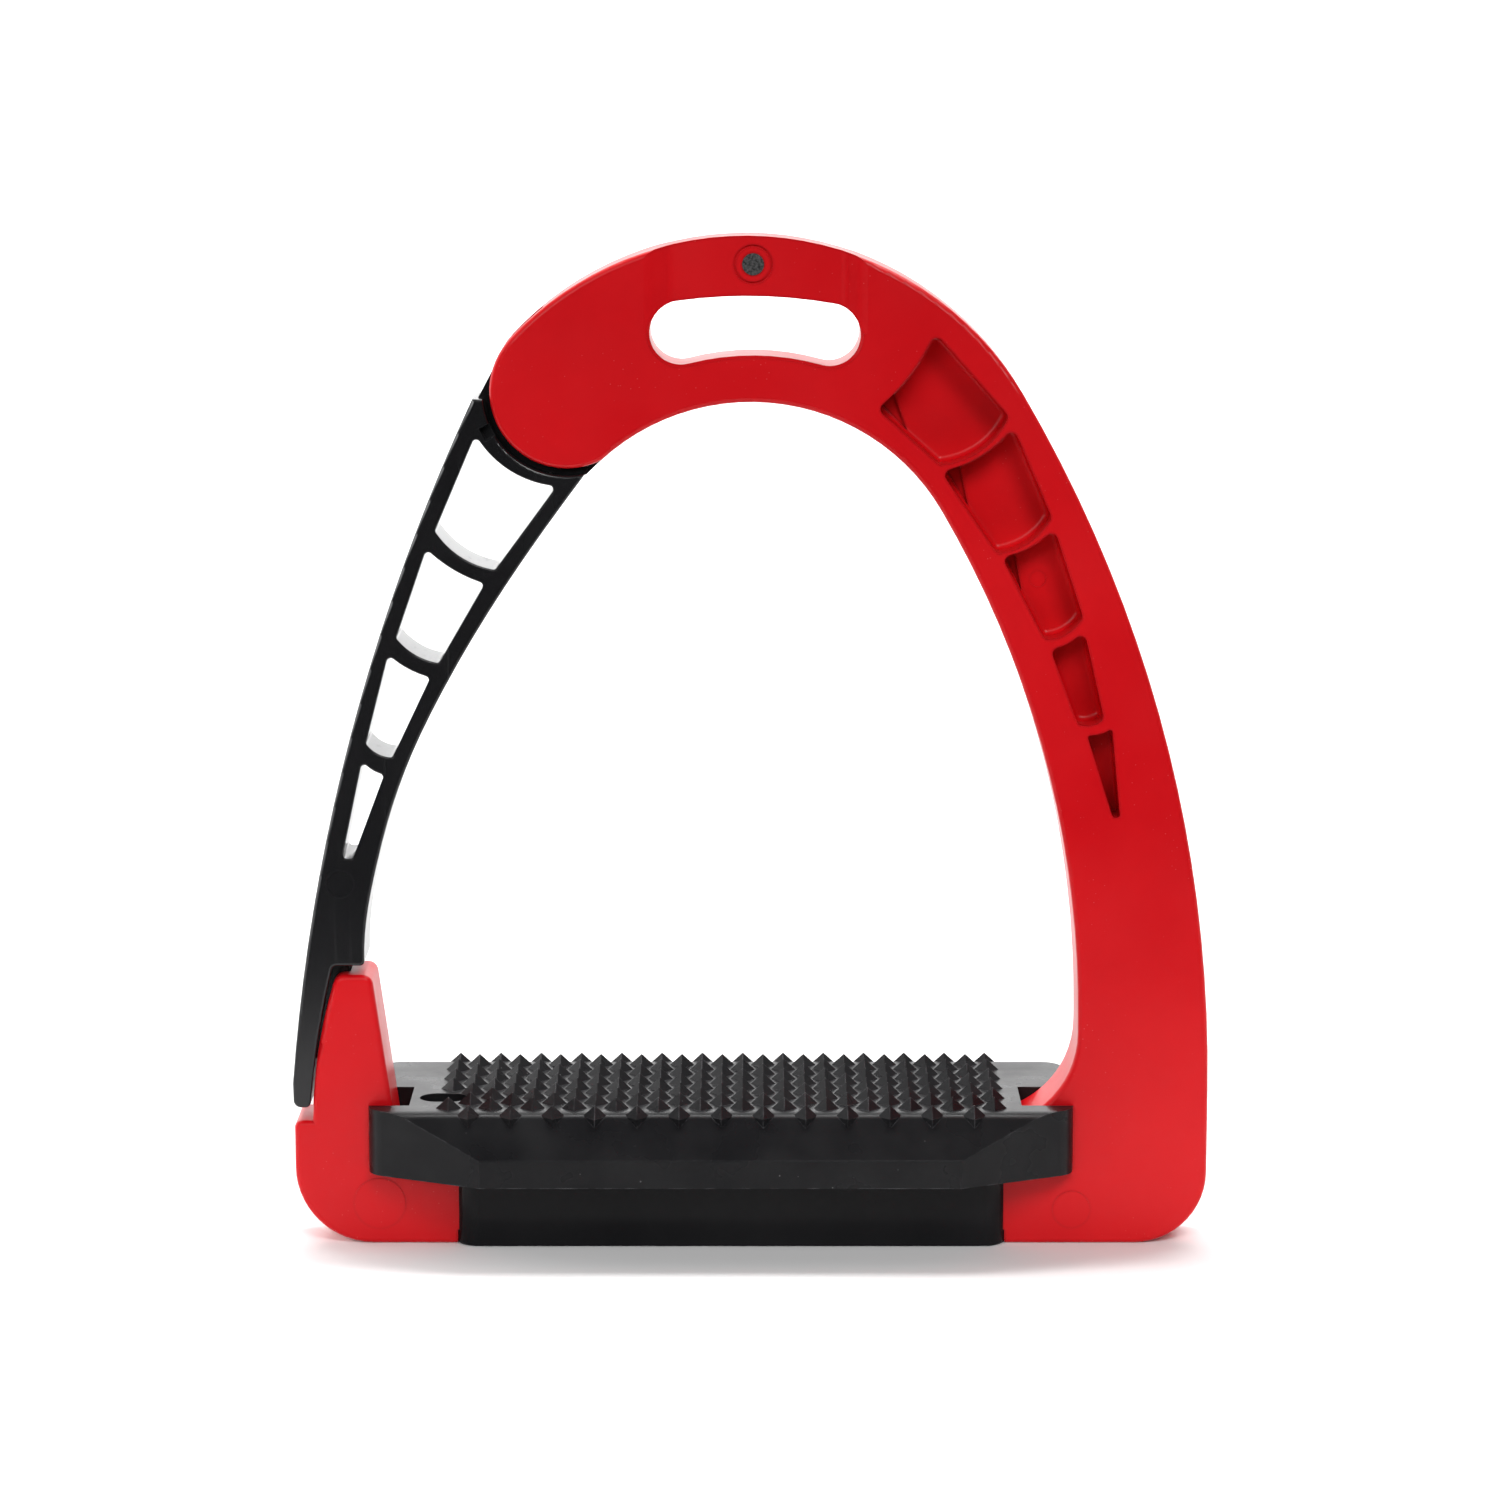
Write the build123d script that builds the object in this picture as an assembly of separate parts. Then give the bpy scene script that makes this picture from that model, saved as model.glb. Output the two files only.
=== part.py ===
from build123d import *
import math
import os

# Plastic safety stirrup: a red frame, a black release arm hinged in the frame's knuckle, and a studded tread.
# X runs along the foot bed towards the wide leg, Y through the frame's thickness, Z up. The origin is on the
# resting face, midway between the outer sides, in the middle of the frame's thickness. Millimetres, degrees.

# ---- driving dimensions ----
FRAME_THICKNESS = 13.0
FACE_Y = FRAME_THICKNESS / 2
OUTER_X = 79.0
INNER_LEG_X = 56.4
EDGE_RADIUS = 0.9

# arch: two crowns, each running into a flank that ends upright in the leg
OUTER_CROWN = (-0.85, 119.8)
OUTER_CROWN_RADIUS = 54.5
OUTER_FLANK_ANGLE = 30.7
INNER_CROWN = (0.0, 109.0)
INNER_CROWN_RADIUS = 37.4
INNER_FLANK_ANGLE = 30.5

# knuckle: touches the outer crown from inside
KNUCKLE_ANGLE = 136.84
KNUCKLE_RADIUS = 13.0

# base, ledge and post
BEAM_TOP = 20.6
LEG_FILLET = 16.6
RIGHT_CORNER_RADIUS = 12.5
LEFT_CORNER_RADIUS = 13.5
LEDGE_Z = 21.8
POST_TOP = 47.6
POST_SLOT_WIDTH = 5.6
POST_SLOT_X = -69.2
POST_SLOT_FLOOR = 31.4

# leather slot and the thinned bar above it
EYE_LEFT = (-11.8, 158.1)
EYE_LEFT_RADIUS = 5.3
EYE_RIGHT = (13.25, 157.75)
EYE_RIGHT_RADIUS = 5.2
EYE_TOP_RADIUS = 85.0
EYE_BOTTOM_RADIUS = 43.0
EYE_EDGE = 0.5
BAR_RECESS = 2.1
BAR_MOUTH = (-17.4, 18.8)
BAR_FLOOR = (-13.6, 15.8)
BAR_MOUTH_RADIUS = 4.0
BAR_FLOOR_RADIUS = 2.5
EYE_PIN = (0.35, 169.5)
EYE_PIN_RADIUS = 1.85
EYE_PIN_PROUD = 0.15

# blind pockets of the leg and windows of the arm, from the top down: four corners clockwise with the
# top edge first to last, then how far the top edge sinks in and how far the bottom edge bulges out
POCKETS = [
    ((30.9, 158.3), (43.5, 144.1), (31.9, 135.8), (21.2, 145.3), 1.0, 2.0),
    ((44.2, 142.5), (50.9, 126.9), (41.7, 120.7), (32.0, 134.8), 1.4, 1.4),
    ((51.3, 125.3), (56.4, 109.9), (49.9, 106.0), (42.4, 120.3), 1.0, 1.1),
    ((56.5, 108.3), (60.2, 92.3), (55.7, 91.4), (50.8, 104.6), 1.0, 0.6),
    ((61.6, 90.8), (63.1, 75.6), (61.8, 75.5), (57.3, 89.6), 0.4, 0.3),
]
POCKET_DEPTH = 6.0
POCKET_CORNER = 1.2
POCKET_STEP = 0.9
STEPPED_POCKETS = 3

# marks of the mould's pins: centre and radius
MARK_HEIGHT = 0.12
BASE_MARKS = [((-64.4, 7.2), 4.5), ((55.6, 6.1), 3.3)]
POCKET_MARK = ((49.0, 115.7), 1.4)
ARM_MARK = ((-70.5, 63.7), 2.4)

# hinge
TONGUE_RADIUS = 12.8
TONGUE_THICKNESS = 6.0
KNUCKLE_GAP = 0.25
CAVITY_RADIUS = 14.5
RIM_RADIUS = 14.2
PIN_RADIUS = 2.5
RUNNING_CLEARANCE = 0.05
BUSH_RADIUS = 4.0
HINGE_SKIN = 1.2
CAP_RADIUS = 5.6
CAP_THICKNESS = 1.5
SPRING_WIRE = 0.9
SPRING_TURNS = 3
SPRING_PITCH = 1.0
SPRING_RADIUS = 4.75

# release arm
ARM_TOP_OUTER = (-47.0, 147.0)
ARM_MID_OUTER = (-67.65, 92.0)
ARM_LOW_OUTER = (-79.2, 28.5)
ARM_TIP_Z = 24.2
SHOULDER_Z = 49.3
ARM_INNER_EDGE = [(-66.1, 57.0), (-64.5, 65.5), (-60.2, 80.5), (-52.9, 96.4), (-40.9, 116.3)]
ARM_RIM_INNER = (-27.9, 134.1)
ARM_WINDOWS = [
    ((-32.9, 132.2), (-43.4, 118.0), (-53.5, 124.6), (-46.5, 140.9), 2.0, 1.3),
    ((-45.2, 115.6), (-53.1, 102.0), (-60.3, 106.3), (-55.0, 121.5), 0.7, 0.8),
    ((-54.6, 99.5), (-61.2, 85.7), (-65.7, 88.1), (-61.7, 103.4), 0.5, 0.6),
    ((-62.7, 82.7), (-68.2, 68.2), (-70.0, 68.4), (-66.4, 85.1), 0.4, 0.2),
]
WINDOW_CORNER = 0.7
ARM_EDGE = 0.5
WINDOW_EDGE = 0.3
RIB_THICKNESS = 5.0
MAGNET_RADIUS = 2.0
MAGNET_LENGTH = 2.5
MAGNET_Z = 36.5

# tread
TREAD_X = -5.2
TREAD_Y = 7.2
DECK_Z = 24.7
DECK_HALF_DEPTH = 19.1
DECK_EDGE = 3.5
LIP_HALF_DEPTH = 26.3
LIP_TOP = 18.1
LIP_BOTTOM = 13.2
LIP_HALF_LENGTH = 41.2
TIP_HALF_LENGTH = 60.9
TIP_HALF_DEPTH = 16.7
TIP_CORNER = 4.5
NOTCH_ENDS = (-59.1, 46.8)
CHANNEL_GAP = 0.2
SHELL = 2.4
STUD_PITCH = 7.24
STUD_ROW_STEP = 3.5
STUD_ROWS = 12
OUTER_ROW_DROP = 0.6
STUD_FOOT = 2.5
STUDS_X = -5.1
STUDS_IN_LONG_ROW = 14
STUD_HALF_DIAGONAL = 2.2
STUD_HEIGHT = 1.95
DECK_HOLE = (-53.5, -1.0)
DECK_HOLE_LENGTH = 8.3
DECK_HOLE_WIDTH = 6.0
DECK_HOLE_STUD_ROW = 8
DECK_CUP_DEPTH = 5.0
DECK_CUP_WALL = 0.9
DECK_CUP_FLOOR = 1.3
DECK_SCREW_RADIUS = 1.5
DECK_SCREW_HEAD_RADIUS = 2.8
DECK_SCREW_TIP = 8.0

# clamp box under the tread, and its screws
CLAMP_ENDS = (-51.2, 44.3)
CLAMP_HALF_DEPTH = 8.7
CLAMP_CORNER = 4.0
CLAMP_FLOOR = 2.4
SCREW_XS = (-37.0, 30.6)
SCREW_RADIUS = 2.0
SCREW_HEAD_RADIUS = 3.9
SCREW_LENGTH = 20.0
BOSS_RADIUS = 4.4
BOSS_BOTTOM = 14.6


# ---- geometry helpers ----
def polar(centre, radius, angle):
    """Point at an angle on a circle."""
    turn = math.radians(angle)
    return centre[0] + radius * math.cos(turn), centre[1] + radius * math.sin(turn)


def arc(centre, radius, start, end):
    """Arc of a circle between two angles, either way round."""
    middle = (start + end) / 2
    return ThreePointArc(polar(centre, radius, start), polar(centre, radius, middle), polar(centre, radius, end))


def angle_of(centre, point):
    """Direction from a centre to a point, 0 to 360."""
    return math.degrees(math.atan2(point[1] - centre[1], point[0] - centre[0])) % 360


def upright_flank(crown, crown_radius, angle, upright_x):
    """Centre and radius of the arc that leaves a crown at an angle and ends upright at upright_x."""
    reach = upright_x - crown[0] - crown_radius * math.cos(math.radians(angle))
    radius = reach / (1 - math.cos(math.radians(angle)))
    start = polar(crown, crown_radius, angle)
    centre = (upright_x - radius, start[1] - radius * math.sin(math.radians(angle)))
    return centre, radius


def circles_meet(first, first_radius, second, second_radius):
    """The lower of the two points where two circles cross."""
    dx = second[0] - first[0]
    dz = second[1] - first[1]
    apart = math.hypot(dx, dz)
    along = (apart**2 + first_radius**2 - second_radius**2) / (2 * apart)
    aside = math.sqrt(first_radius**2 - along**2)
    foot = (first[0] + along * dx / apart, first[1] + along * dz / apart)
    points = [(foot[0] + side * aside * dz / apart, foot[1] - side * aside * dx / apart) for side in (1, -1)]
    return min(points, key=lambda point: point[1])


def bowed(start, end, bulge):
    """Arc from start to end whose middle stands off by bulge, to the left of the way if it is positive."""
    dx = end[0] - start[0]
    dz = end[1] - start[1]
    length = math.hypot(dx, dz)
    middle = ((start[0] + end[0]) / 2 - bulge * dz / length, (start[1] + end[1]) / 2 + bulge * dx / length)
    return ThreePointArc(start, middle, end)


def face_of(*edges):
    """Face inside a closed run of edges."""
    return make_face(Wire(edges))


def upright_slab(face, low_y, high_y):
    """Solid of a face drawn in X and Z, from low_y to high_y."""
    placed = Plane.XZ.offset(-low_y) * face
    return extrude(placed, amount=high_y - low_y, dir=(0, 1, 0))


def round_edges_at(solid, y, radius):
    """Rounds every edge that lies in the plane of one Y."""
    return fillet(solid.edges().filter_by_position(Axis.Y, y - 0.01, y + 0.01), radius)


def rod_y(centre, radius, low_y, high_y):
    """Cylinder along Y."""
    return upright_slab(Pos(centre[0], centre[1]) * Circle(radius), low_y, high_y)


def rod_z(x, y, radius, low_z, high_z):
    """Cylinder along Z."""
    return Pos(x, y, (low_z + high_z) / 2) * Cylinder(radius, high_z - low_z)


def block(low, high):
    """Box between two corners."""
    size = [high[i] - low[i] for i in range(3)]
    return Pos(*[(low[i] + high[i]) / 2 for i in range(3)]) * Box(*size)


def four_sided(corners, top_sink, bottom_bulge, corner_radius):
    """Face with two straight sides, a top edge that sinks in, a bottom edge that bulges out, and round corners."""
    face = face_of(
        Line(corners[0], corners[1]),
        bowed(corners[1], corners[2], bottom_bulge),
        Line(corners[2], corners[3]),
        bowed(corners[3], corners[0], -top_sink),
    )
    radius = min(corner_radius, math.dist(corners[1], corners[2]) * 0.35)
    return fillet(face.vertices(), radius)


def between(start, end, share):
    """Point a share of the way from start to end."""
    return start[0] + share * (end[0] - start[0]), start[1] + share * (end[1] - start[1])


def round_openings(solid, side, radius):
    """Rounds the mouths of the openings inside the front (side -1) or back (side 1) face."""
    face = solid.faces().sort_by(Axis.Y)[0 if side < 0 else -1]
    mouths = [edge for wire in face.inner_wires() for edge in wire.edges()]
    return fillet(mouths, radius)


# ---- derived places ----
KNUCKLE = polar(OUTER_CROWN, OUTER_CROWN_RADIUS - KNUCKLE_RADIUS, KNUCKLE_ANGLE)
OUTER_FLANK, OUTER_FLANK_RADIUS = upright_flank(OUTER_CROWN, OUTER_CROWN_RADIUS, OUTER_FLANK_ANGLE, OUTER_X)
INNER_FLANK, INNER_FLANK_RADIUS = upright_flank(INNER_CROWN, INNER_CROWN_RADIUS, INNER_FLANK_ANGLE, INNER_LEG_X)
TREAD_FRONT = TREAD_Y - LIP_HALF_DEPTH
TREAD_BACK = TREAD_Y + LIP_HALF_DEPTH
CHANNEL_Y = FACE_Y + CHANNEL_GAP


# ---- frame ----
def round_corner(face, point, radius):
    """Rounds the corner of a face that is nearest to a point."""
    nearest = face.vertices().sort_by_distance((point[0], point[1], 0))[0]
    return fillet(nearest, radius)


def frame_face():
    """Side view of the frame, as one face."""
    knuckle_end = circles_meet(KNUCKLE, KNUCKLE_RADIUS, INNER_CROWN, INNER_CROWN_RADIUS)
    right = (OUTER_X - RIGHT_CORNER_RADIUS, RIGHT_CORNER_RADIUS)
    left = (-OUTER_X + LEFT_CORNER_RADIUS, LEFT_CORNER_RADIUS)
    leg = (INNER_LEG_X - LEG_FILLET, BEAM_TOP + LEG_FILLET)
    ledge_outer = (-OUTER_X, LEDGE_Z)
    ledge_inner = (-75.9, LEDGE_Z)
    post_left = (-71.5, POST_TOP)
    post_right = (-65.3, POST_TOP)
    post_foot = (-61.5, BEAM_TOP)
    face = face_of(
        arc(OUTER_CROWN, OUTER_CROWN_RADIUS, KNUCKLE_ANGLE, OUTER_FLANK_ANGLE),
        arc(OUTER_FLANK, OUTER_FLANK_RADIUS, OUTER_FLANK_ANGLE, 0),
        Line((OUTER_X, OUTER_FLANK[1]), (OUTER_X, right[1])),
        arc(right, RIGHT_CORNER_RADIUS, 0, -90),
        Line((right[0], 0), (left[0], 0)),
        arc(left, LEFT_CORNER_RADIUS, -90, -180),
        Line((-OUTER_X, left[1]), ledge_outer),
        Line(ledge_outer, ledge_inner),
        ThreePointArc(ledge_inner, (-74.7, 34.5), post_left),
        Line(post_left, post_right),
        Line(post_right, post_foot),
        Line(post_foot, (leg[0], BEAM_TOP)),
        arc(leg, LEG_FILLET, -90, 0),
        Line((INNER_LEG_X, leg[1]), (INNER_LEG_X, INNER_FLANK[1])),
        arc(INNER_FLANK, INNER_FLANK_RADIUS, 0, INNER_FLANK_ANGLE),
        arc(INNER_CROWN, INNER_CROWN_RADIUS, INNER_FLANK_ANGLE, angle_of(INNER_CROWN, knuckle_end)),
        arc(KNUCKLE, KNUCKLE_RADIUS, angle_of(KNUCKLE, knuckle_end), KNUCKLE_ANGLE),
    )
    for corner, radius in ((ledge_outer, 1.2), (post_left, 1.9), (post_right, 1.8), (post_foot, 0.6)):
        face = round_corner(face, corner, radius)
    return face


def eye_face(grow=0.0):
    """Bean-shaped leather slot: two round ends joined by a flat arc above and a tighter one below."""
    left_radius = EYE_LEFT_RADIUS + grow
    right_radius = EYE_RIGHT_RADIUS + grow
    top_radius = EYE_TOP_RADIUS + grow
    bottom_radius = EYE_BOTTOM_RADIUS - grow
    top = circles_meet(EYE_LEFT, top_radius - left_radius, EYE_RIGHT, top_radius - right_radius)
    bottom = circles_meet(EYE_LEFT, bottom_radius + left_radius, EYE_RIGHT, bottom_radius + right_radius)
    top_angles = (angle_of(top, EYE_LEFT), angle_of(top, EYE_RIGHT))
    bottom_angles = (angle_of(bottom, EYE_LEFT), angle_of(bottom, EYE_RIGHT))
    return face_of(
        arc(top, top_radius, *top_angles),
        arc(EYE_RIGHT, right_radius, top_angles[1], bottom_angles[1] - 180),
        arc(bottom, bottom_radius, bottom_angles[1], bottom_angles[0]),
        arc(EYE_LEFT, left_radius, bottom_angles[0] + 180, top_angles[0]),
    )


def bar_recess(side):
    """Cut that thins the bar over the leather slot on one face; side is -1 or 1."""
    mouth = side * (FACE_Y + 0.02)
    floor = side * (FACE_Y - BAR_RECESS)
    outside = side * (FACE_Y + 2)
    ends = (BAR_MOUTH[0] - 8, BAR_MOUTH[1] + 8)
    profile = Polyline(
        (ends[0], outside),
        (ends[0], mouth),
        (BAR_MOUTH[0], mouth),
        (BAR_FLOOR[0], floor),
        (BAR_FLOOR[1], floor),
        (BAR_MOUTH[1], mouth),
        (ends[1], mouth),
        (ends[1], outside),
        close=True,
    )
    face = make_face(profile)
    for x in BAR_MOUTH:
        face = round_corner(face, (x, mouth), BAR_MOUTH_RADIUS)
    for x in BAR_FLOOR:
        face = round_corner(face, (x, floor), BAR_FLOOR_RADIUS)
    return Pos(0, 0, (EYE_LEFT[1] + EYE_RIGHT[1]) / 2) * extrude(face, amount=30)


def pocket_cutter(*outline):
    """Blind pocket of the leg with a rounded floor."""
    corners = outline[:4]
    face = four_sided(corners, outline[4], outline[5], POCKET_CORNER)
    floor_y = -FACE_Y + POCKET_DEPTH
    cutter = upright_slab(face, -FACE_Y - 1, floor_y)
    rounding = min(POCKET_CORNER, math.dist(corners[1], corners[2]) * 0.35) * 0.85
    return round_edges_at(cutter, floor_y, rounding)


def pocket_step(*outline):
    """Lower corner in a pocket's floor, next to the arch's inner side."""
    outer_top, _, inner_bottom, inner_top = outline[:4]
    corner = between(inner_top, outer_top, 0.05)
    corner = between(corner, inner_bottom, 0.05)
    face = make_face(Polyline(corner, between(corner, outer_top, 0.2), between(corner, inner_bottom, 0.45), close=True))
    floor_y = -FACE_Y + POCKET_DEPTH
    return upright_slab(face, floor_y - 1, floor_y + POCKET_STEP)


def ejector_disc(centre, radius):
    """Faint raised disc of a mould pin on the front face."""
    return rod_y(centre, radius, -FACE_Y - MARK_HEIGHT, -FACE_Y + MARK_HEIGHT)


def eye_edge(side):
    """Cutter that bevels the mouth of the leather slot on one face; side is -1 or 1."""
    inner = Plane.XZ.offset(-side * (FACE_Y - EYE_EDGE)) * eye_face()
    outer = Plane.XZ.offset(-side * (FACE_Y + EYE_EDGE)) * eye_face(2 * EYE_EDGE)
    return loft([inner, outer])


def eye_ring():
    """Fine ring moulded round the eye pin."""
    bar_face = -FACE_Y + BAR_RECESS
    return rod_y(EYE_PIN, 3.3, bar_face - 0.5, bar_face + 0.3) - rod_y(EYE_PIN, 2.95, bar_face - 1, bar_face + 1)


def make_frame():
    body = upright_slab(frame_face(), -FACE_Y, FACE_Y)
    body = round_edges_at(body, -FACE_Y, EDGE_RADIUS)
    body = round_edges_at(body, FACE_Y, EDGE_RADIUS)
    for side in (-1, 1):
        body -= bar_recess(side)
    body -= upright_slab(eye_face(), -20, 20)
    for side in (-1, 1):
        body -= eye_edge(side)
    for pocket in POCKETS:
        body -= pocket_cutter(*pocket)
    for pocket in POCKETS[:STEPPED_POCKETS]:
        body -= pocket_step(*pocket)
    body -= rod_y(*POCKET_MARK, -FACE_Y, -FACE_Y + POCKET_DEPTH + MARK_HEIGHT)
    body -= rod_y(EYE_PIN, EYE_PIN_RADIUS, -FACE_Y, FACE_Y)
    body -= eye_ring()
    # knuckle: slot for the tongue, blind pin bore, cap seat and spring leg hole
    half_slot = TONGUE_THICKNESS / 2 + KNUCKLE_GAP
    body -= rod_y(KNUCKLE, CAVITY_RADIUS, -half_slot, half_slot)
    body -= rod_y(KNUCKLE, PIN_RADIUS, -FACE_Y + HINGE_SKIN, FACE_Y)
    body -= rod_y(KNUCKLE, CAP_RADIUS, FACE_Y - CAP_THICKNESS, FACE_Y + 1)
    body -= rod_y(spring_leg_centre(), SPRING_WIRE / 2 + 0.05, 0, half_slot + 1.6)
    # post: slot for the arm's rib and seat of the magnet
    body -= block((-90, -POST_SLOT_WIDTH / 2, POST_SLOT_FLOOR), (POST_SLOT_X, POST_SLOT_WIDTH / 2, 60))
    body -= magnet(POST_SLOT_X)
    # base: seat of the clamp, screw holes and the deck screw's pocket
    body -= Pos(0, 0, -1) * extrude(clamp_plan(0.1), amount=CLAMP_FLOOR + 1.1)
    for x in SCREW_XS:
        body -= rod_z(x, 0, SCREW_RADIUS + 0.3, 0, BEAM_TOP + 1)
        body -= rod_z(x, 0, BOSS_RADIUS + 0.3, BOSS_BOTTOM - 0.3, BEAM_TOP + 1)
    body -= deck_cup(0.3)
    body -= rod_z(*DECK_HOLE, DECK_SCREW_RADIUS, DECK_SCREW_TIP, DECK_Z)
    for centre, radius in BASE_MARKS:
        body += ejector_disc(centre, radius)
    return body


# ---- hinge ----
def spring_leg_centre():
    """Where the spring's end leg enters the rear cheek."""
    return polar(KNUCKLE, SPRING_RADIUS, 0)


def make_hinge_pin():
    return rod_y(KNUCKLE, PIN_RADIUS, -FACE_Y + HINGE_SKIN, FACE_Y - CAP_THICKNESS)


def make_hinge_bush():
    half = TONGUE_THICKNESS / 2
    return rod_y(KNUCKLE, BUSH_RADIUS, -half, half) - rod_y(KNUCKLE, PIN_RADIUS + RUNNING_CLEARANCE, -half, half)


def make_hinge_cap():
    cap = rod_y(KNUCKLE, CAP_RADIUS - 0.05, FACE_Y - CAP_THICKNESS, FACE_Y + 0.2)
    return round_edges_at(cap, FACE_Y + 0.2, 0.5)


def make_torsion_spring():
    """Coil round the bush with one leg along Y into the rear cheek and one radial leg in the tongue."""
    low_y = TONGUE_THICKNESS / 2 - SPRING_TURNS * SPRING_PITCH - SPRING_WIRE / 2 + 0.1
    helix = Helix(pitch=SPRING_PITCH, height=SPRING_TURNS * SPRING_PITCH, radius=SPRING_RADIUS)
    section = Plane(origin=helix @ 0, z_dir=helix % 0) * Circle(SPRING_WIRE / 2)
    coil = sweep(section, path=helix, is_frenet=True)
    # the coil's axis is turned from Z to Y
    coil = Pos(KNUCKLE[0], low_y, KNUCKLE[1]) * Rot(-90, 0, 0) * coil
    top_y = low_y + SPRING_TURNS * SPRING_PITCH
    end_leg = rod_y(spring_leg_centre(), SPRING_WIRE / 2, top_y, TONGUE_THICKNESS / 2 + KNUCKLE_GAP + 1.4)
    outer = KNUCKLE[0] + SPRING_RADIUS + 3.2
    radial_leg = Pos((KNUCKLE[0] + SPRING_RADIUS + outer) / 2, low_y, KNUCKLE[1]) * Rot(0, 90, 0)
    radial_leg *= Cylinder(SPRING_WIRE / 2, outer - KNUCKLE[0] - SPRING_RADIUS)
    return coil + end_leg + radial_leg


def spring_seat():
    """Counterbore of the tongue for the coil, with the slot of its radial leg."""
    half = TONGUE_THICKNESS / 2
    low_y = half - SPRING_TURNS * SPRING_PITCH - SPRING_WIRE - 0.1
    ring = rod_y(KNUCKLE, SPRING_RADIUS + 0.7, low_y, half + 1) - rod_y(KNUCKLE, BUSH_RADIUS, low_y - 1, half + 2)
    slot = block(
        (KNUCKLE[0] + SPRING_RADIUS, low_y, KNUCKLE[1] - 0.6),
        (KNUCKLE[0] + SPRING_RADIUS + 3.5, half + 1, KNUCKLE[1] + 0.6),
    )
    return ring + slot


# ---- release arm ----
def arm_face():
    """Side view of the arm's full-thickness part."""
    tip_outer = (ARM_LOW_OUTER[0] + 0.1, ARM_TIP_Z)
    tip_inner = (-76.2, ARM_TIP_Z)
    tail_top = (-72.0, SHOULDER_Z)
    shoulder_end = (-66.5, SHOULDER_Z)
    rim_start = angle_of(KNUCKLE, ARM_RIM_INNER)
    rim_end = angle_of(KNUCKLE, ARM_TOP_OUTER) + 0.9
    rim_low = polar(KNUCKLE, RIM_RADIUS, rim_start)
    rim_high = polar(KNUCKLE, RIM_RADIUS, rim_end)
    face = face_of(
        ThreePointArc(ARM_TOP_OUTER, ARM_MID_OUTER, ARM_LOW_OUTER),
        Line(ARM_LOW_OUTER, tip_outer),
        Line(tip_outer, tip_inner),
        ThreePointArc(tip_inner, (-74.4, 38.0), tail_top),
        Line(tail_top, shoulder_end),
        Spline(shoulder_end, *ARM_INNER_EDGE, rim_low),
        arc(KNUCKLE, RIM_RADIUS, rim_start, rim_end),
        Line(rim_high, ARM_TOP_OUTER),
    )
    for corner, radius in ((tip_outer, 1.3), (tip_inner, 1.0), (tail_top, 1.0), (shoulder_end, 0.8)):
        face = round_corner(face, corner, radius)
    return face


def tongue_face():
    """Disc between the cheeks with its neck out to the rim."""
    outer_top = (-43.3, 152.4)
    outer_corner = (-46.2, 146.9)
    inner_corner = (-27.9, 133.9)
    inner_top = (-25.4, 136.3)
    root_radius = RIM_RADIUS + 0.9
    root_outer = polar(KNUCKLE, root_radius, 188)
    root_inner = polar(KNUCKLE, root_radius, 275)
    outer_touch = polar(KNUCKLE, TONGUE_RADIUS - 0.1, 133)
    inner_touch = polar(KNUCKLE, TONGUE_RADIUS - 0.1, 305)
    neck = face_of(
        Line(outer_touch, outer_top),
        Line(outer_top, outer_corner),
        Line(outer_corner, root_outer),
        arc(KNUCKLE, root_radius, 188, 275),
        Line(root_inner, inner_corner),
        Line(inner_corner, inner_top),
        Line(inner_top, inner_touch),
        Line(inner_touch, outer_touch),
    )
    return Pos(KNUCKLE[0], KNUCKLE[1]) * Circle(TONGUE_RADIUS) + neck


def latch_rib():
    """Rib inside the tail that enters the post's slot."""
    end_x = POST_SLOT_X - 0.3
    face = face_of(
        Line((-77.0, 32.2), (end_x - 0.8, 32.2)),
        ThreePointArc((end_x - 0.8, 32.2), (end_x - 0.2, 32.5), (end_x, 33.2)),
        Line((end_x, 33.2), (end_x, SHOULDER_Z + 2)),
        Line((end_x, SHOULDER_Z + 2), (-74.0, SHOULDER_Z + 2)),
        Line((-74.0, SHOULDER_Z + 2), (-77.0, 32.2)),
    )
    return upright_slab(face, -RIB_THICKNESS / 2, RIB_THICKNESS / 2)


def magnet(face_x, inwards=1):
    """Disc magnet along X whose face lies at face_x."""
    centre_x = face_x + inwards * MAGNET_LENGTH / 2
    return Pos(centre_x, 0, MAGNET_Z) * Rot(0, 90, 0) * Cylinder(MAGNET_RADIUS, MAGNET_LENGTH)


def window_cutter(*outline):
    """Through window of the arm."""
    face = four_sided(outline[:4], outline[4], outline[5], WINDOW_CORNER)
    return upright_slab(face, -FACE_Y - 1, FACE_Y + 1)


def make_release_arm():
    arm = upright_slab(arm_face(), -FACE_Y, FACE_Y)
    arm = round_edges_at(arm, -FACE_Y, ARM_EDGE)
    arm = round_edges_at(arm, FACE_Y, ARM_EDGE)
    for window in ARM_WINDOWS:
        arm -= window_cutter(*window)
    for side in (-1, 1):
        arm = round_openings(arm, side, WINDOW_EDGE)
    arm += upright_slab(tongue_face(), -TONGUE_THICKNESS / 2, TONGUE_THICKNESS / 2)
    arm += latch_rib()
    arm -= rod_y(KNUCKLE, BUSH_RADIUS, -FACE_Y, FACE_Y)
    arm -= spring_seat()
    arm -= magnet(POST_SLOT_X - 0.3, -1)
    arm -= rod_y(*ARM_MARK, -FACE_Y - 1, -FACE_Y + MARK_HEIGHT)
    # stop notch in the rim, open to the front
    notch = polar(KNUCKLE, RIM_RADIUS + 0.8, 207)
    arm -= Pos(notch[0], -FACE_Y + 0.75, notch[1]) * Rot(0, -27, 0) * Box(2.0, 2.5, 2.4)
    return arm


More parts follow.
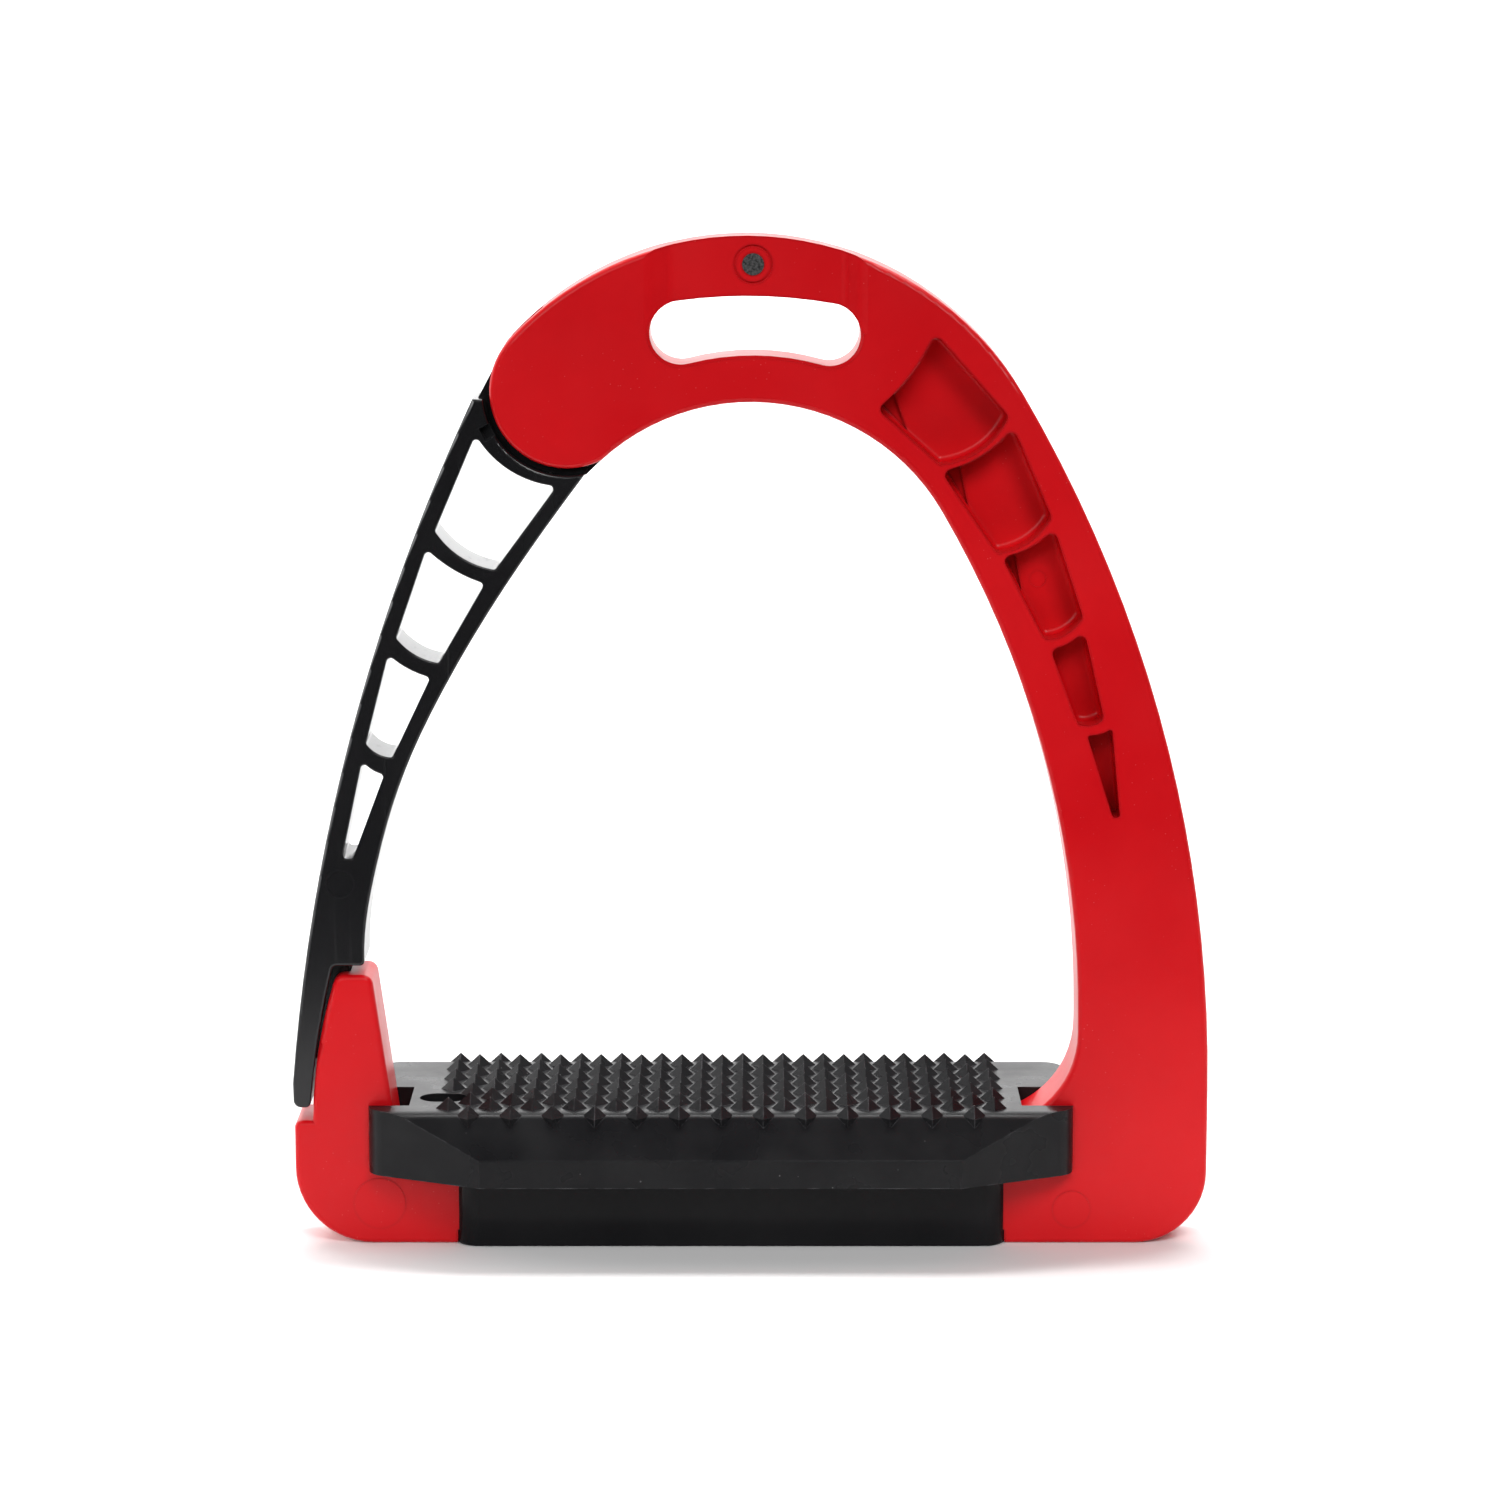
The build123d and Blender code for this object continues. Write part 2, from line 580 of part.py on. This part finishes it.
# ---- tread ----
def tread_plan(inset):
    """Outline of the tread from above, pulled in by inset."""
    lip = LIP_HALF_LENGTH - inset * 0.3
    tip = TIP_HALF_LENGTH - inset
    depth = LIP_HALF_DEPTH - inset
    points = [
        (TREAD_X - lip, TREAD_Y - depth),
        (TREAD_X + lip, TREAD_Y - depth),
        (TREAD_X + tip, TREAD_Y - TIP_HALF_DEPTH + inset),
        (TREAD_X + tip, TREAD_Y + TIP_HALF_DEPTH - inset),
        (TREAD_X + lip, TREAD_Y + depth),
        (TREAD_X - lip, TREAD_Y + depth),
        (TREAD_X - tip, TREAD_Y + TIP_HALF_DEPTH - inset),
        (TREAD_X - tip, TREAD_Y - TIP_HALF_DEPTH + inset),
    ]
    face = make_face(Polyline(*points, close=True))
    tips = [point for point in face.vertices() if abs(point.X - TREAD_X) > lip + 1]
    return fillet(tips, TIP_CORNER)


def tread_section():
    """Section of the tread in Y and Z, drawn with Y as the first coordinate."""
    points = [
        (TREAD_FRONT, LIP_BOTTOM),
        (TREAD_FRONT, LIP_TOP),
        (TREAD_Y - DECK_HALF_DEPTH, DECK_Z),
        (TREAD_Y + DECK_HALF_DEPTH, DECK_Z),
        (TREAD_BACK, LIP_TOP),
        (TREAD_BACK, LIP_BOTTOM),
    ]
    face = make_face(Polyline(*points, close=True))
    deck_edges = face.vertices().filter_by_position(Axis.Y, DECK_Z - 0.01, DECK_Z + 0.01)
    return fillet(deck_edges, DECK_EDGE)


def along_x(face, low_x, high_x):
    """Solid of a face drawn in Y and Z, from low_x to high_x."""
    return extrude(Plane.YZ.offset(low_x) * face, amount=high_x - low_x, dir=(1, 0, 0))


def stud(x, y, deck_z):
    """Square pyramid turned by 45 degrees, on a foot that reaches into the deck."""
    side = STUD_HALF_DIAGONAL * math.sqrt(2)
    square = Pos(x, y) * Rectangle(side, side, rotation=45)
    foot_z = DECK_Z - STUD_FOOT
    foot = extrude(Pos(0, 0, foot_z) * square, amount=deck_z - foot_z)
    tip = Pos(x, y) * Rectangle(0.12, 0.12, rotation=45)
    pyramid = loft([Pos(0, 0, deck_z) * square, Pos(0, 0, deck_z + STUD_HEIGHT) * tip])
    return foot + pyramid


def studs():
    """All the studs: long and short rows in turn, from back to front."""
    grown = []
    for row in range(STUD_ROWS):
        y = TREAD_Y + STUD_ROW_STEP * ((STUD_ROWS - 1) / 2 - row)
        count = STUDS_IN_LONG_ROW - row % 2
        drop = OUTER_ROW_DROP if row in (0, STUD_ROWS - 1) else 0
        for place in range(count):
            if row == DECK_HOLE_STUD_ROW and place == 0:
                continue
            x = STUDS_X + STUD_PITCH * (place - (count - 1) / 2)
            grown.append(stud(x, y, DECK_Z - drop))
    return grown


def oval(grow):
    """Face of the deck's oval hole, grown all round."""
    return Pos(*DECK_HOLE) * SlotOverall(DECK_HOLE_LENGTH + 2 * grow, DECK_HOLE_WIDTH + 2 * grow)


def deck_cup(clearance):
    """Cup under the oval hole that goes down into the beam."""
    bottom = DECK_Z - DECK_CUP_DEPTH - DECK_CUP_FLOOR - clearance
    return extrude(Pos(0, 0, bottom) * oval(DECK_CUP_WALL + clearance), amount=DECK_Z - 0.6 - bottom)


def underside_cells():
    """Hollows of the two wings, open below, between cross ribs."""
    reach = TIP_HALF_LENGTH - 4
    cell_count = 8
    rib = 1.8
    pitch = 2 * reach / cell_count
    front = [(TREAD_FRONT + SHELL, LIP_BOTTOM - 1), (TREAD_FRONT + SHELL, LIP_TOP - 1.2)]
    front += [(TREAD_Y - DECK_HALF_DEPTH + 1.0, DECK_Z - SHELL - 0.6), (-CHANNEL_Y - SHELL, DECK_Z - SHELL - 0.6)]
    front += [(-CHANNEL_Y - SHELL, LIP_BOTTOM - 1)]
    back = [(TREAD_BACK - SHELL, LIP_BOTTOM - 1), (TREAD_BACK - SHELL, LIP_TOP - 1.2)]
    back += [(TREAD_Y + DECK_HALF_DEPTH - 1.0, DECK_Z - SHELL - 0.6), (CHANNEL_Y + SHELL, DECK_Z - SHELL - 0.6)]
    back += [(CHANNEL_Y + SHELL, LIP_BOTTOM - 1)]
    inner_plan = extrude(tread_plan(SHELL), amount=50)
    cells = []
    for points in (front, back):
        section = make_face(Polyline(*points, close=True))
        for cell in range(cell_count):
            low_x = TREAD_X - reach + cell * pitch + rib / 2
            cells.append(along_x(section, low_x, low_x + pitch - rib) & inner_plan)
    return cells


def make_tread():
    plan = extrude(tread_plan(0), amount=50)
    body = along_x(tread_section(), -90, 90) & plan
    lip_edges = body.edges().filter_by_position(Axis.Z, LIP_TOP - 0.01, LIP_TOP + 0.01)
    body = fillet(lip_edges, 0.5)
    for cell in underside_cells():
        body -= cell
    # channel over the beam, and the end notches for the post and the leg
    body -= block((-90, -CHANNEL_Y, 0), (90, CHANNEL_Y, BEAM_TOP + 0.05))
    body -= block((-90, -CHANNEL_Y, 0), (NOTCH_ENDS[0], CHANNEL_Y, 40))
    body -= block((NOTCH_ENDS[1], -CHANNEL_Y, 0), (90, CHANNEL_Y, 40))
    # room for the start of the leg's inner fillet
    body -= block((INNER_LEG_X - LEG_FILLET - 0.3, -CHANNEL_Y, 0), (90, CHANNEL_Y, BEAM_TOP + 1.8))
    for x in SCREW_XS:
        body += rod_z(x, 0, BOSS_RADIUS, BOSS_BOTTOM, DECK_Z - 0.5)
        body -= rod_z(x, 0, SCREW_RADIUS, BOSS_BOTTOM, CLAMP_FLOOR + SCREW_LENGTH - 1.2)
    body += deck_cup(0)
    body = body.fuse(*studs())
    body -= extrude(Pos(0, 0, DECK_Z - DECK_CUP_DEPTH) * oval(0), amount=20)
    body -= rod_z(*DECK_HOLE, DECK_SCREW_RADIUS, 0, DECK_Z)
    return body


def make_deck_screw():
    """Cap screw at the bottom of the deck's oval hole, with a hexagon socket."""
    seat = DECK_Z - DECK_CUP_DEPTH
    head = rod_z(*DECK_HOLE, DECK_SCREW_HEAD_RADIUS, seat, seat + 3)
    head = chamfer(head.edges().group_by(Axis.Z)[-1], 0.3)
    socket = Pos(DECK_HOLE[0], DECK_HOLE[1], seat + 1.2) * extrude(RegularPolygon(1.5, 6), amount=3)
    return head - socket + rod_z(*DECK_HOLE, DECK_SCREW_RADIUS, DECK_SCREW_TIP, seat)


def clamp_plan(grow):
    """Plan of the clamp box, grown all round."""
    length = CLAMP_ENDS[1] - CLAMP_ENDS[0] + 2 * grow
    middle = (CLAMP_ENDS[0] + CLAMP_ENDS[1]) / 2
    return Pos(middle, 0) * RectangleRounded(length, 2 * (CLAMP_HALF_DEPTH + grow), CLAMP_CORNER + grow)


def make_tread_clamp():
    """U-shaped box round the beam, open at both ends."""
    box = extrude(clamp_plan(0), amount=LIP_BOTTOM - 0.1)
    box = fillet(box.edges().group_by(Axis.Z)[0], 0.6)
    box -= block((-90, -CHANNEL_Y, CLAMP_FLOOR), (90, CHANNEL_Y, 50))
    for x in SCREW_XS:
        box -= rod_z(x, 0, SCREW_RADIUS + 0.2, -1, 10)
        box -= Pos(x, 0, 0.9) * Cone(SCREW_HEAD_RADIUS + 0.3, SCREW_RADIUS + 0.5, 1.8)
    return box


def make_tread_screws():
    """Countersunk screws from below, as separate solids of one group."""
    screws = []
    for x in SCREW_XS:
        head = Pos(x, 0, 1.05) * Cone(SCREW_HEAD_RADIUS, SCREW_RADIUS, 1.7)
        cross = block((x - 2.0, -0.4, -1), (x + 2.0, 0.4, 1.2)) + block((x - 0.4, -2.0, -1), (x + 0.4, 2.0, 1.2))
        screws.append(head - cross + rod_z(x, 0, SCREW_RADIUS, 1.9, CLAMP_FLOOR + SCREW_LENGTH - 1.6))
    return Compound(children=screws)


def make_eye_pin():
    half = FACE_Y - BAR_RECESS + EYE_PIN_PROUD
    return rod_y(EYE_PIN, EYE_PIN_RADIUS, -half, half)


# ---- files ----
PARTS = {
    "frame": make_frame,
    "release_arm": make_release_arm,
    "hinge_pin": make_hinge_pin,
    "hinge_bush": make_hinge_bush,
    "hinge_cap": make_hinge_cap,
    "torsion_spring": make_torsion_spring,
    "eye_pin": make_eye_pin,
    "arm_magnet": lambda: magnet(POST_SLOT_X - 0.3, -1),
    "post_magnet": lambda: magnet(POST_SLOT_X),
    "tread": make_tread,
    "deck_screw": make_deck_screw,
    "tread_clamp": make_tread_clamp,
    "tread_screws": make_tread_screws,
}

os.makedirs("parts", exist_ok=True)
for name, make in PARTS.items():
    export_step(make(), f"parts/{name}.step")
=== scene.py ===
import math

import bpy
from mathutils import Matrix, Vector

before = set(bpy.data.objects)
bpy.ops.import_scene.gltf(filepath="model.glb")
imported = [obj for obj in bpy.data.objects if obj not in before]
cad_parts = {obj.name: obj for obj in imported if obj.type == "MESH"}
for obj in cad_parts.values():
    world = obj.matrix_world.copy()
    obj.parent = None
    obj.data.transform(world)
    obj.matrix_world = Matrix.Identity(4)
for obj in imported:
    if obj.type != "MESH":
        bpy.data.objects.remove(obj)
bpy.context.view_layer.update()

MM = 0.001

# camera: its place in millimetres, how far it looks down in degrees, and its lens and sensor
CAMERA_PLACE = (-0.17, -783.3, 221.5)
CAMERA_DOWN = 9.82
CAMERA_LENS = 110.9
SENSOR_WIDTH = 36.0

# backdrop, in metres; the floor starts just before the lower edge of the view, so that upright faces
# don't mirror it, and curves up into the wall
FLOOR_FRONT = -0.17
FLOOR_BACK = 1.6
COVE_RADIUS = 1.0
COVE_STEPS = 12
WALL_TOP = 5.0
BACKDROP_HALF_WIDTH = 5.0

# lights: name, place, what it faces, width and height, watts
MIDDLE = (0.0, 0.0, 0.09)
LIGHTS = [
    ("key", (0.4, -1.25, 1.2), MIDDLE, (0.6, 0.6), 14),
    ("fill", (-0.6, -1.4, 0.75), MIDDLE, (0.7, 0.7), 8),
    ("left", (-1.5, 0.3, 0.5), MIDDLE, (0.8, 1.2), 12),
    ("wall", (0.0, 0.9, 2.2), (0.0, 2.2, 0.6), (3.0, 1.0), 120),
]

# strength of the surroundings towards the camera and away from it, and the directions' Y between which
# one turns into the other
WORLD_DARK = 0.03
WORLD_BRIGHT = 1.3
WORLD_DARK_Y = -0.15
WORLD_BRIGHT_Y = 0.45

# cosines of the angle between rounded and true normal at which an edge starts to show and shows in full
EDGE_STARTS = 0.995
EDGE_FULL = 0.86


# ---- small helpers for node materials ----
class Nodes:
    """Builds one node material with a Principled shader."""

    def __init__(self, name):
        self.material = bpy.data.materials.new(name)
        self.material.use_nodes = True
        self.tree = self.material.node_tree
        self.shader = self.tree.nodes["Principled BSDF"]
        self.place = self.tree.nodes.new("ShaderNodeTexCoord").outputs["Object"]

    def node(self, kind, **settings):
        made = self.tree.nodes.new(kind)
        for key, value in settings.items():
            setattr(made, key, value)
        return made

    def join(self, source, target):
        self.tree.links.new(source, target)

    def put(self, node, **values):
        for key, value in values.items():
            node.inputs[key.replace("_", " ")].default_value = value

    def noise(self, scale, detail=3.0, roughness=0.5, source=None):
        made = self.node("ShaderNodeTexNoise")
        made.inputs["Scale"].default_value = scale
        made.inputs["Detail"].default_value = detail
        made.inputs["Roughness"].default_value = roughness
        self.join(source or self.place, made.inputs["Vector"])
        return made.outputs["Fac"]

    def stretched(self, x, y, z):
        """Object coordinates, stretched by a factor on each axis."""
        made = self.node("ShaderNodeMapping")
        made.inputs["Scale"].default_value = (x, y, z)
        self.join(self.place, made.inputs["Vector"])
        return made.outputs["Vector"]

    def ranged(self, value, low, high, to_low, to_high, smooth=False):
        made = self.node("ShaderNodeMapRange")
        made.interpolation_type = "SMOOTHSTEP" if smooth else "LINEAR"
        made.clamp = True
        self.join(value, made.inputs["Value"])
        made.inputs["From Min"].default_value = low
        made.inputs["From Max"].default_value = high
        made.inputs["To Min"].default_value = to_low
        made.inputs["To Max"].default_value = to_high
        return made.outputs["Result"]

    def maths(self, operation, first, second):
        made = self.node("ShaderNodeMath", operation=operation)
        for socket, value in zip(made.inputs, (first, second)):
            if isinstance(value, (int, float)):
                socket.default_value = value
            else:
                self.join(value, socket)
        return made.outputs["Value"]

    def mix(self, share, first, second):
        """Blends two colours by a share from 0 to 1."""
        made = self.node("ShaderNodeMix", data_type="RGBA")
        self.join(share, made.inputs[0])
        for socket, value in ((made.inputs[6], first), (made.inputs[7], second)):
            if isinstance(value, tuple):
                socket.default_value = (*value, 1.0)
            else:
                self.join(value, socket)
        return made.outputs[2]

    def edges(self, radius):
        """1 on sharp edges, 0 away from them."""
        bevel = self.node("ShaderNodeBevel", samples=6)
        bevel.inputs["Radius"].default_value = radius
        normal = self.node("ShaderNodeNewGeometry").outputs["Normal"]
        dot = self.node("ShaderNodeVectorMath", operation="DOT_PRODUCT")
        self.join(bevel.outputs["Normal"], dot.inputs[0])
        self.join(normal, dot.inputs[1])
        return self.ranged(dot.outputs["Value"], EDGE_STARTS, EDGE_FULL, 0.0, 1.0, True)

    def bump(self, *layers):
        """Chains bump layers of (height, strength, distance) into the shader's normal."""
        last = None
        for height, strength, distance in layers:
            made = self.node("ShaderNodeBump")
            made.inputs["Strength"].default_value = strength
            made.inputs["Distance"].default_value = distance
            self.join(height, made.inputs["Height"])
            if last is not None:
                self.join(last, made.inputs["Normal"])
            last = made.outputs["Normal"]
        self.join(last, self.shader.inputs["Normal"])

    def colour(self, value):
        self.join(value, self.shader.inputs["Base Color"])

    def roughness(self, value):
        self.join(value, self.shader.inputs["Roughness"])


def specks(m, scale, low, high):
    """Sparse dust: dots of a Voronoi pattern, kept where a slower noise is high."""
    cells = m.node("ShaderNodeTexVoronoi")
    cells.inputs["Scale"].default_value = scale
    m.join(m.place, cells.inputs["Vector"])
    chosen = m.ranged(m.noise(scale * 0.11, 2.0), low, high, 0.0, 1.0)
    dots = m.ranged(cells.outputs["Distance"], 0.10, 0.05, 0.0, 1.0)
    return m.maths("MULTIPLY", dots, chosen)


def red_plastic():
    """Satin red plastic with a fine grain, painted shade darkening its edges and creases, and light
    dust.
    """
    deep = (0.58, 0.003, 0.007)
    bright = (0.66, 0.006, 0.010)
    painted_shade_red = (0.30, 0.003, 0.006)
    dust = (0.90, 0.30, 0.28)
    m = Nodes("red_plastic")
    cloud = m.noise(22.0, 4.0)
    fine = m.noise(2600.0, 2.0)
    base = m.mix(m.ranged(cloud, 0.35, 0.65, 0.0, 1.0), deep, bright)
    # painted shade: sharp edges and creases are darkened towards a deeper red
    edge = m.edges(0.9 * MM)
    base = m.mix(m.maths("MULTIPLY", edge, 0.55), base, painted_shade_red)
    base = m.mix(m.maths("MULTIPLY", specks(m, 900.0, 0.50, 0.62), 0.30), base, dust)
    m.colour(base)
    m.roughness(m.ranged(m.noise(60.0, 3.0), 0.3, 0.7, 0.28, 0.38))
    m.bump((fine, 0.22, 0.04 * MM), (m.noise(180.0, 2.0), 0.06, 0.15 * MM))
    m.put(m.shader, IOR=1.46, Specular_IOR_Level=0.25)
    return m.material


def black_gloss(name, dark, light, rough, shine):
    """Glossy black plastic with faint flow marks, hairlines and a painted highlight lightening its
    edges.
    """
    painted_highlight_grey = (0.03, 0.03, 0.032)
    m = Nodes(name)
    flow = m.noise(30.0, 5.0, source=m.stretched(1.0, 1.0, 0.35))
    base = m.mix(m.ranged(flow, 0.35, 0.7, 0.0, 1.0), dark, light)
    # painted highlight: sharp edges and creases are lightened towards grey
    edge = m.edges(0.5 * MM)
    base = m.mix(m.maths("MULTIPLY", edge, 0.35), base, painted_highlight_grey)
    m.colour(base)
    hair = m.noise(900.0, 2.0, source=m.stretched(1.0, 0.4, 0.06))
    flow_rough = m.ranged(flow, 0.3, 0.7, rough, rough + 0.07)
    hair_rough = m.ranged(hair, 0.62, 0.8, 0.0, 0.12)
    m.roughness(m.maths("ADD", flow_rough, hair_rough))
    m.bump((m.noise(1500.0, 2.0), 0.08, 0.03 * MM), (m.noise(90.0, 2.0), 0.05, 0.2 * MM))
    m.put(m.shader, IOR=1.5, Specular_IOR_Level=shine)
    return m.material


def black_tread():
    """Grained black plastic with worn edges and dust."""
    dark = (0.006, 0.006, 0.007)
    light = (0.012, 0.012, 0.013)
    worn_grey = (0.09, 0.09, 0.095)
    dust = (0.35, 0.35, 0.35)
    m = Nodes("black_tread")
    grain = m.noise(2200.0, 3.0)
    base = m.mix(m.ranged(m.noise(45.0, 4.0), 0.35, 0.65, 0.0, 1.0), dark, light)
    edge = m.edges(0.4 * MM)
    worn = m.maths("MULTIPLY", edge, m.ranged(m.noise(300.0, 3.0), 0.45, 0.7, 0.0, 0.9))
    base = m.mix(worn, base, worn_grey)
    base = m.mix(m.maths("MULTIPLY", specks(m, 500.0, 0.58, 0.64), 0.6), base, dust)
    m.colour(base)
    m.roughness(m.ranged(m.noise(120.0, 3.0), 0.3, 0.7, 0.24, 0.36))
    m.bump((grain, 0.25, 0.05 * MM))
    m.put(m.shader, IOR=1.5, Specular_IOR_Level=0.14)
    return m.material


def metal(name, dark, light, rough, scale=1200.0):
    """Turned or plated metal with a fine grain."""
    m = Nodes(name)
    grain = m.noise(scale, 3.0)
    m.colour(m.mix(m.ranged(grain, 0.3, 0.7, 0.0, 1.0), dark, light))
    m.roughness(m.ranged(grain, 0.3, 0.7, rough, rough + 0.15))
    m.bump((grain, 0.25, 0.05 * MM))
    m.put(m.shader, Metallic=1.0)
    return m.material


def assign(material, *names):
    """Gives one material to CAD nodes."""
    for name in names:
        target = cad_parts[name]
        target.data.materials.clear()
        target.data.materials.append(material)


assign(red_plastic(), "frame")
arm_plastic = black_gloss("arm_plastic", (0.006, 0.006, 0.007), (0.012, 0.012, 0.013), 0.16, 0.4)
assign(arm_plastic, "release_arm", "hinge_cap")
clamp_plastic = black_gloss("clamp_plastic", (0.005, 0.005, 0.006), (0.010, 0.010, 0.011), 0.10, 0.12)
assign(clamp_plastic, "tread_clamp")
assign(black_tread(), "tread")
assign(metal("pin_steel", (0.30, 0.30, 0.31), (0.5, 0.5, 0.5), 0.25), "hinge_pin", "torsion_spring")
assign(metal("dark_steel", (0.035, 0.035, 0.037), (0.16, 0.16, 0.16), 0.42, 2600.0), "eye_pin")
assign(metal("screw_steel", (0.03, 0.03, 0.032), (0.07, 0.07, 0.072), 0.3), "deck_screw", "tread_screws")
assign(metal("nickel", (0.6, 0.59, 0.57), (0.72, 0.71, 0.69), 0.15), "arm_magnet", "post_magnet")
assign(metal("bush_brass", (0.5, 0.36, 0.16), (0.68, 0.5, 0.24), 0.25), "hinge_bush")


# ---- studio ----
def backdrop():
    """Pale floor that curves up into a wall behind the object."""
    outline = [(FLOOR_FRONT, 0.0), (FLOOR_BACK, 0.0)]
    for step in range(1, COVE_STEPS + 1):
        turn = math.radians(90 * step / COVE_STEPS)
        y = FLOOR_BACK + COVE_RADIUS * math.sin(turn)
        outline.append((y, COVE_RADIUS - COVE_RADIUS * math.cos(turn)))
    outline.append((FLOOR_BACK + COVE_RADIUS, WALL_TOP))
    mesh = bpy.data.meshes.new("studio_backdrop")
    vertices = []
    faces = []
    for y, z in outline:
        vertices += [(-BACKDROP_HALF_WIDTH, y, z), (BACKDROP_HALF_WIDTH, y, z)]
    for i in range(len(outline) - 1):
        faces.append((2 * i, 2 * i + 1, 2 * i + 3, 2 * i + 2))
    mesh.from_pydata(vertices, [], faces)
    for polygon in mesh.polygons:
        polygon.use_smooth = True
    made = bpy.data.objects.new("studio_backdrop", mesh)
    bpy.context.collection.objects.link(made)
    m = Nodes("studio_white")
    m.colour(m.mix(m.noise(3.0), (0.90, 0.90, 0.90), (0.92, 0.92, 0.92)))
    m.put(m.shader, Roughness=0.9)
    mesh.materials.append(m.material)


def softbox(name, position, target, size, power):
    """Rectangular area light at a place, turned towards a target."""
    light = bpy.data.lights.new(name, "AREA")
    light.shape = "RECTANGLE"
    light.size = size[0]
    light.size_y = size[1]
    light.energy = power
    made = bpy.data.objects.new(name, light)
    made.location = position
    made.rotation_euler = (Vector(target) - Vector(position)).to_track_quat("-Z", "Y").to_euler()
    bpy.context.collection.objects.link(made)


def surroundings():
    """Bright behind the object, dim above it and dark on the camera's side."""
    world = bpy.data.worlds.new("studio_world")
    bpy.context.scene.world = world
    world.use_nodes = True
    tree = world.node_tree
    background = tree.nodes["Background"]
    place = tree.nodes.new("ShaderNodeTexCoord")
    axes = tree.nodes.new("ShaderNodeSeparateXYZ")
    tree.links.new(place.outputs["Generated"], axes.inputs["Vector"])
    opened = tree.nodes.new("ShaderNodeMapRange")
    opened.interpolation_type = "SMOOTHSTEP"
    tree.links.new(axes.outputs["Y"], opened.inputs["Value"])
    opened.inputs["From Min"].default_value = WORLD_DARK_Y
    opened.inputs["From Max"].default_value = WORLD_BRIGHT_Y
    opened.inputs["To Min"].default_value = WORLD_DARK
    opened.inputs["To Max"].default_value = WORLD_BRIGHT
    tree.links.new(opened.outputs["Result"], background.inputs["Strength"])
    background.inputs["Color"].default_value = (1.0, 1.0, 1.0, 1.0)


def studio():
    backdrop()
    for light in LIGHTS:
        softbox(*light)
    surroundings()


def camera():
    data = bpy.data.cameras.new("camera")
    data.sensor_width = SENSOR_WIDTH
    data.lens = CAMERA_LENS
    made = bpy.data.objects.new("camera", data)
    made.location = Vector(CAMERA_PLACE) * MM
    made.rotation_euler = (math.radians(90 - CAMERA_DOWN), 0.0, 0.0)
    bpy.context.collection.objects.link(made)
    bpy.context.scene.camera = made


studio()
camera()
bpy.context.scene.view_settings.view_transform = "Standard"
